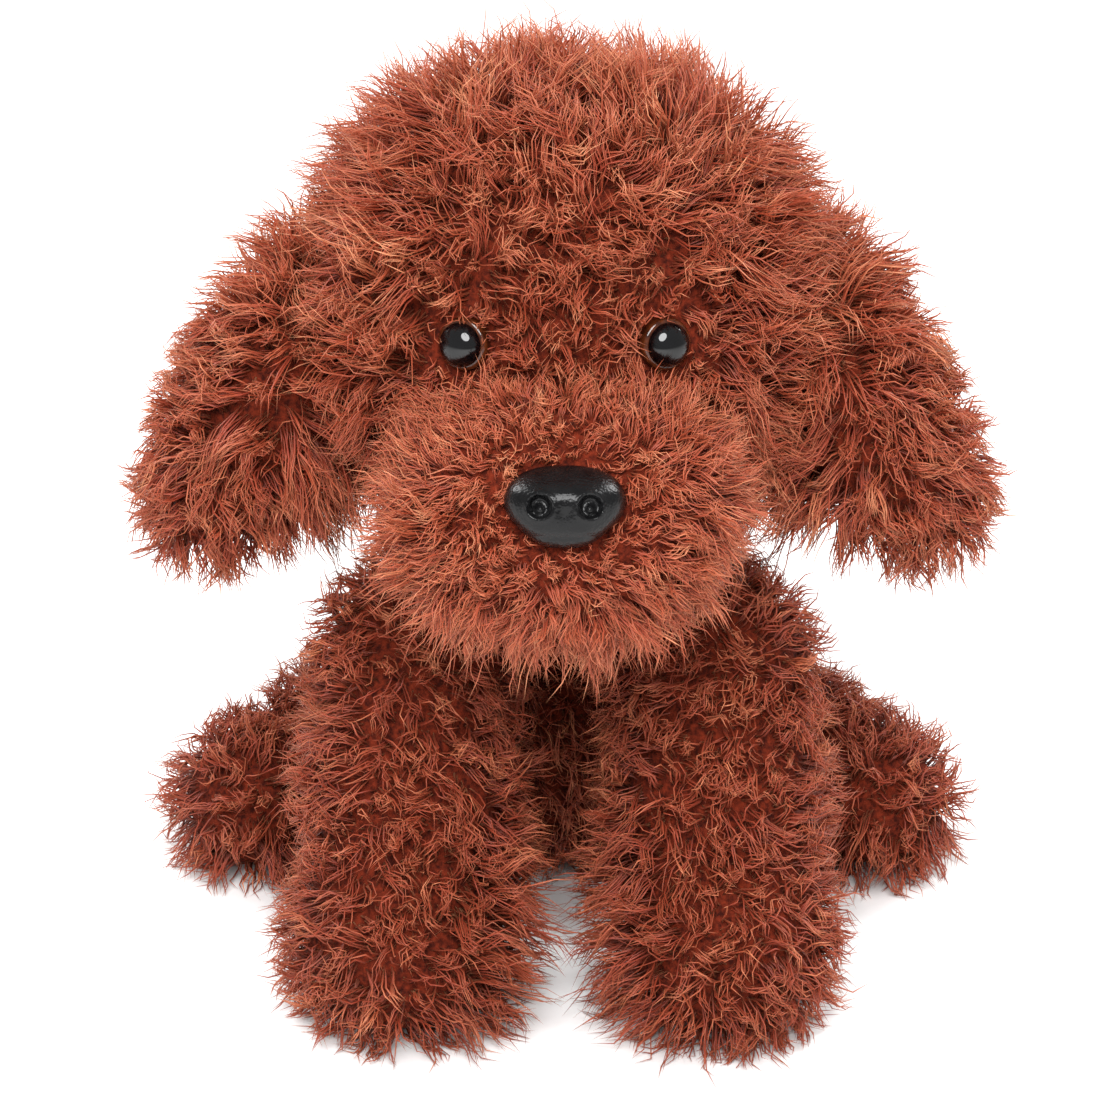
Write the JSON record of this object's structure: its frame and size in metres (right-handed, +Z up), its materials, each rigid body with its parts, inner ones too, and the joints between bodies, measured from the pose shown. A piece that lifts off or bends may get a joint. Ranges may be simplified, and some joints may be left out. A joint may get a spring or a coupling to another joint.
{
  "type": "plush dog",
  "caption": "Sitting plush puppy in curly russet pile, with a round head, drooping ears, thick front legs, splayed hind legs, and a moulded nose and eyes.",
  "frame": {"origin": "on the floor, under the middle of the bounding box", "axes": "+Z up; the dog looks along -Y; its own left side is at +X"},
  "size_m": [0.2, 0.2158, 0.221],
  "materials": {
    "curly_pile": "matte curly polyester pile, russet with orange tips",
    "fibre": "white hollow polyester fibre",
    "pouch_cloth": "plain woven cotton, filled with plastic pellets",
    "eye_brown": "moulded, polished, translucent brown",
    "eye_black": "moulded, polished",
    "nose_black": "moulded, satin with a fine pebble",
    "washer_white": "moulded, natural"
  },
  "bodies": {
    "torso": {"torso_base": "curly_pile", "torso_belly": "curly_pile", "torso_side_right": "curly_pile", "torso_side_left": "curly_pile", "torso_fill": "fibre", "pellet_pouch": "pouch_cloth"},
    "neck": {"neck_band": "curly_pile", "neck_fill": "fibre"},
    "head": {"head_side_right": "curly_pile", "head_gusset": "curly_pile", "head_side_left": "curly_pile", "head_fill": "fibre", "muzzle_chin": "curly_pile", "muzzle_bridge": "curly_pile", "muzzle_fill": "fibre", "eye_iris_left": "eye_brown", "eye_pupil_left": "eye_black", "eye_washer_left": "washer_white", "eye_iris_right": "eye_brown", "eye_pupil_right": "eye_black", "eye_washer_right": "washer_white", "nose": "nose_black", "nose_washer": "washer_white"},
    "tail": {"tail_skin_right": "curly_pile", "tail_skin_left": "curly_pile", "tail_fill": "fibre"},
    "ear_left": {"ear_lining_left": "curly_pile", "ear_outer_left": "curly_pile", "ear_wadding_left": "fibre"},
    "front_leg_left": {"front_sole_left": "curly_pile", "front_leg_inner_left": "curly_pile", "front_leg_outer_left": "curly_pile", "front_leg_fill_left": "fibre"},
    "hind_leg_left": {"hind_leg_lower_left": "curly_pile", "hind_leg_upper_left": "curly_pile", "hind_leg_fill_left": "fibre"},
    "ear_right": {"ear_lining_right": "curly_pile", "ear_outer_right": "curly_pile", "ear_wadding_right": "fibre"},
    "front_leg_right": {"front_sole_right": "curly_pile", "front_leg_inner_right": "curly_pile", "front_leg_outer_right": "curly_pile", "front_leg_fill_right": "fibre"},
    "hind_leg_right": {"hind_leg_lower_right": "curly_pile", "hind_leg_upper_right": "curly_pile", "hind_leg_fill_right": "fibre"}
  },
  "joints": [
    {"name": "neck_turn", "type": "hinge", "parent": "torso", "child": "neck", "pos_m": [0, 0.00474, 0.109], "axis": [0, 0, 1], "range_deg": [-25, 25], "stiffness_Nm_per_rad": 0.5},
    {"name": "head_nod", "type": "hinge", "parent": "neck", "child": "head", "pos_m": [0, 0.00474, 0.109], "axis": [1, 0, 0], "range_deg": [-8, 10], "stiffness_Nm_per_rad": 1},
    {"name": "tail_wag", "type": "hinge", "parent": "torso", "child": "tail", "pos_m": [0, 0.07699, 0.044], "axis": [0, 0, 1], "range_deg": [-30, 30], "stiffness_Nm_per_rad": 0.1},
    {"name": "ear_lift_left", "type": "hinge", "parent": "head", "child": "ear_left", "pos_m": [0.05631, -0.01526, 0.182], "axis": [0, -1, 0], "range_deg": [0, 75]},
    {"name": "ear_lift_right", "type": "hinge", "parent": "head", "child": "ear_right", "pos_m": [-0.05631, -0.01526, 0.182], "axis": [0, 1, 0], "range_deg": [0, 75]},
    {"name": "front_leg_swing_left", "type": "hinge", "parent": "torso", "child": "front_leg_left", "pos_m": [0.035, -0.03326, 0.08], "axis": [-1, 0, 0], "range_deg": [0, 45], "stiffness_Nm_per_rad": 0.5},
    {"name": "front_leg_swing_right", "type": "hinge", "parent": "torso", "child": "front_leg_right", "pos_m": [-0.035, -0.03326, 0.08], "axis": [-1, 0, 0], "range_deg": [0, 45], "stiffness_Nm_per_rad": 0.5},
    {"name": "hind_leg_splay_left", "type": "hinge", "parent": "torso", "child": "hind_leg_left", "pos_m": [0.056, 0.04274, 0.024], "axis": [0, 0, 1], "range_deg": [-12, 25], "stiffness_Nm_per_rad": 0.5},
    {"name": "hind_leg_splay_right", "type": "hinge", "parent": "torso", "child": "hind_leg_right", "pos_m": [-0.056, 0.04274, 0.024], "axis": [0, 0, -1], "range_deg": [-12, 25], "stiffness_Nm_per_rad": 0.5}
  ]
}
